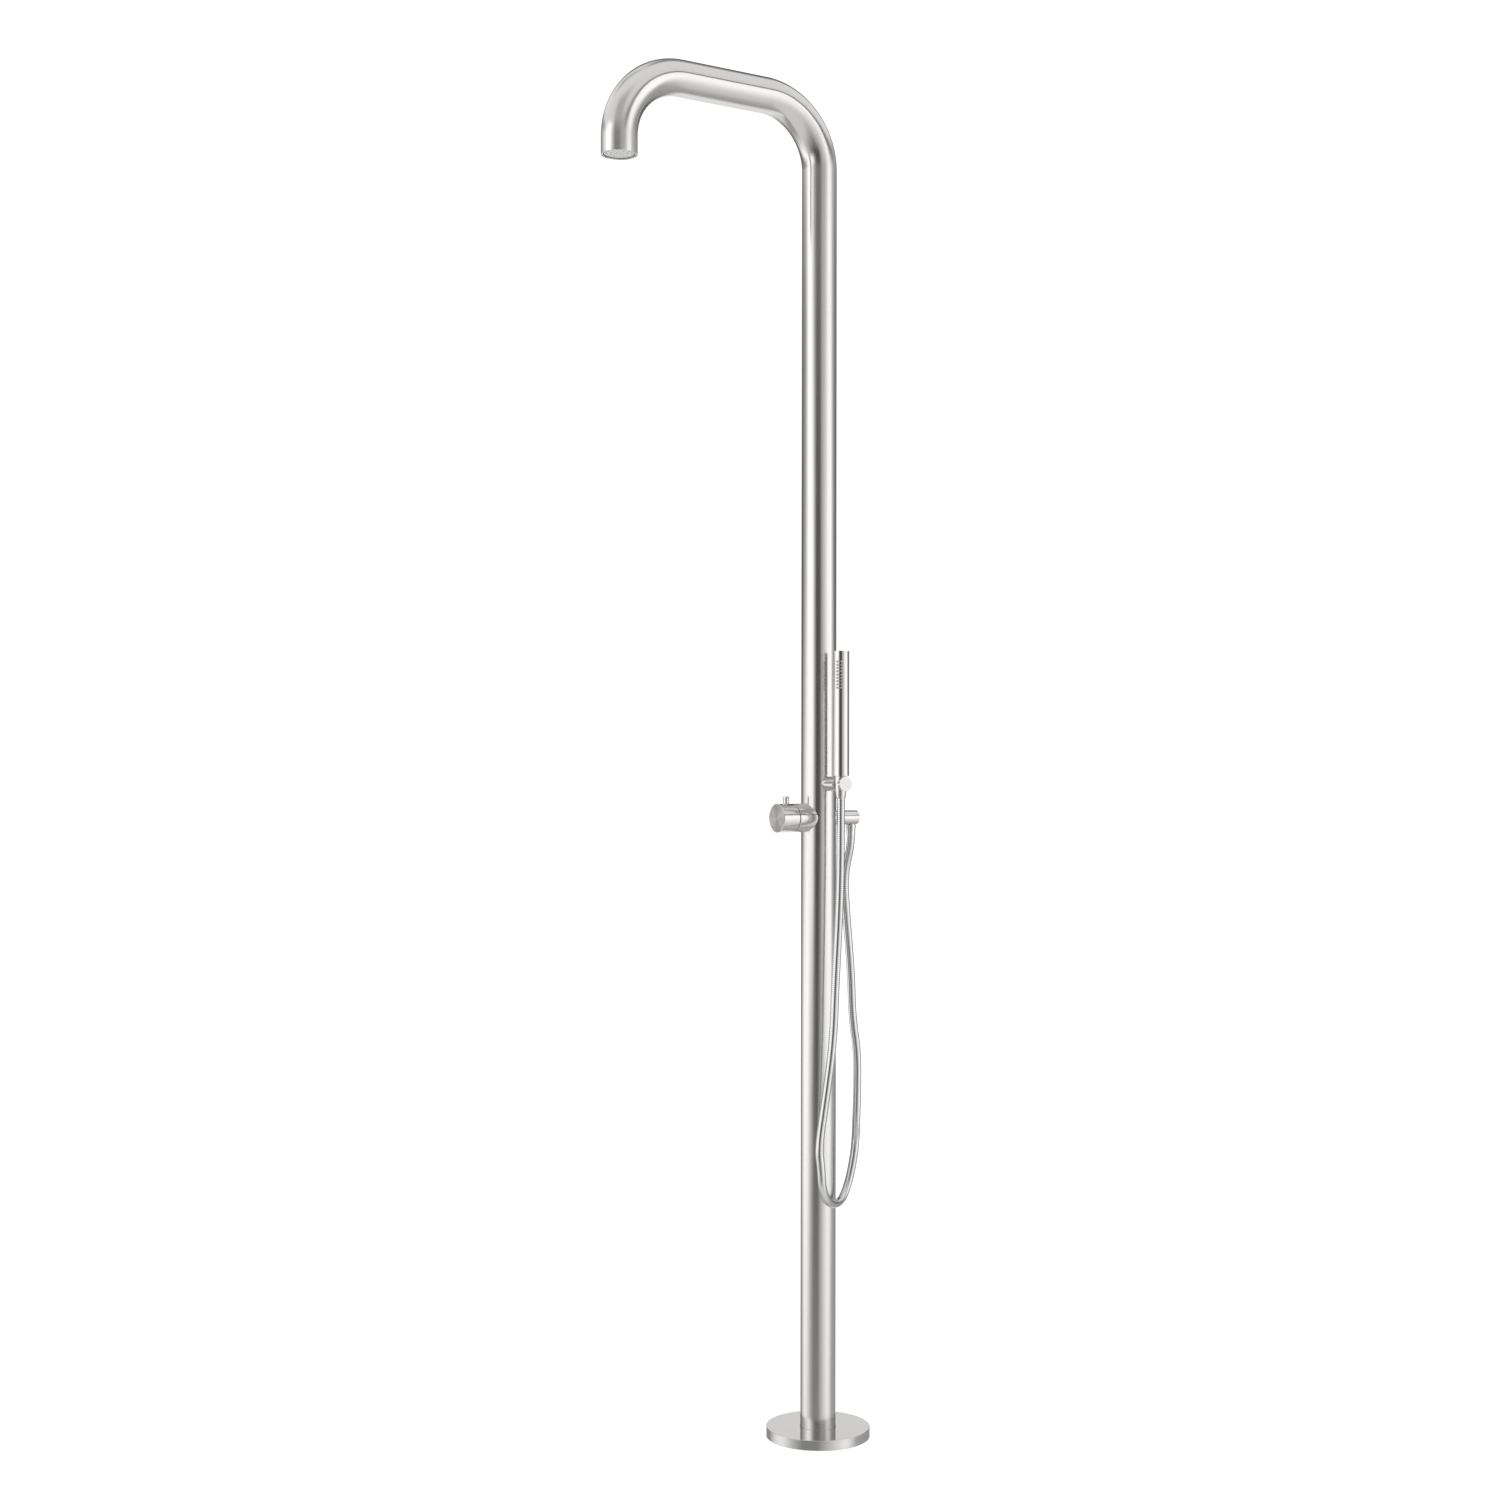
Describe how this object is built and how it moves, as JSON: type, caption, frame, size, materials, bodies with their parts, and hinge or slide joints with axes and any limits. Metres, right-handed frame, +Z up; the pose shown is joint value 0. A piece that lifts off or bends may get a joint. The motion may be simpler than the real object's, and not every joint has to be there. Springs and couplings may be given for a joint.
{
  "type": "outdoor shower post",
  "caption": "Free-standing bent-tube shower post with overhead spray, turn control, hand shower in a holder, hanging metal hose and round base cover.",
  "frame": {"origin": "centre of the base on the floor, on the post's axis", "axes": "+Z up the post; the arm and the control point along -Y; the hand shower's holder is along +X and the hose outlet along +Y"},
  "size_m": [0.176, 0.5079, 2.2999],
  "materials": {
    "steel_brushed": "brushed stainless steel",
    "steel_turned": "turned stainless steel",
    "steel_plain": "plain stainless steel",
    "hose_metal": "finely ribbed polished metal hose",
    "brass": "machined brass",
    "silicone_grey": "soft grey silicone",
    "seal_black": "black seal rubber",
    "hose_rubber": "black reinforced rubber",
    "plastic_white": "white acetal",
    "ceramic": "polished ceramic"
  },
  "bodies": {
    "post": {"riser_tube": "steel_brushed", "mounting_flange": "steel_plain", "inlet_union": "brass", "supply_pipe": "steel_plain", "pipe_spacer": "plastic_white", "valve_housing": "brass", "cartridge_gasket": "seal_black", "cartridge_body": "plastic_white", "cartridge_nut": "brass", "fixed_disc": "ceramic", "control_collar": "steel_turned", "collar_nut": "brass", "outlet_body": "steel_turned", "outlet_seal": "seal_black", "check_valve": "plastic_white", "outlet_nipple": "steel_plain", "outlet_washer": "seal_black", "outlet_nut": "steel_turned", "outlet_tail": "brass", "holder_arm": "steel_turned", "holder_screw": "steel_plain", "valve_nipple": "brass", "head_hose": "hose_rubber", "head_ferrules": "steel_plain", "shower_insert": "steel_plain", "insert_seal": "seal_black", "insert_screw": "steel_plain", "nozzle_plate": "silicone_grey", "hose_tube": "hose_metal"},
    "cover": {"base_cover": "steel_turned", "cover_gasket": "seal_black"},
    "handle": {"control_handle": "steel_turned", "lever_pin": "steel_turned", "stem_adapter": "plastic_white", "handle_screw": "steel_plain", "cartridge_stem": "brass", "moving_disc": "ceramic"},
    "hose_end": {"cone_nut": "steel_turned", "cone_washer": "seal_black", "cone_tail": "brass"},
    "handset": {"handset_tube": "steel_brushed", "handset_plug": "steel_plain", "handset_cap": "steel_turned", "spray_insert": "silicone_grey"}
  },
  "joints": [
    {"name": "handle_turn", "type": "hinge", "parent": "post", "child": "handle", "pos_m": [0, 0, 1.05], "axis": [0, -1, 0], "range_deg": [-90, 90]},
    {"name": "handset_lift", "type": "slide", "parent": "post", "child": "hose_end", "axis": [0, 0, 1], "range_m": [0, 0.06]},
    {"name": "handset_turn", "type": "hinge", "parent": "hose_end", "child": "handset", "pos_m": [0.067, 0, 1.1215], "axis": [0, 0, 1], "continuous": true},
    {"name": "cover_slide", "type": "slide", "parent": "post", "child": "cover", "axis": [0, 0, 1], "range_m": [0, 0.12]}
  ]
}
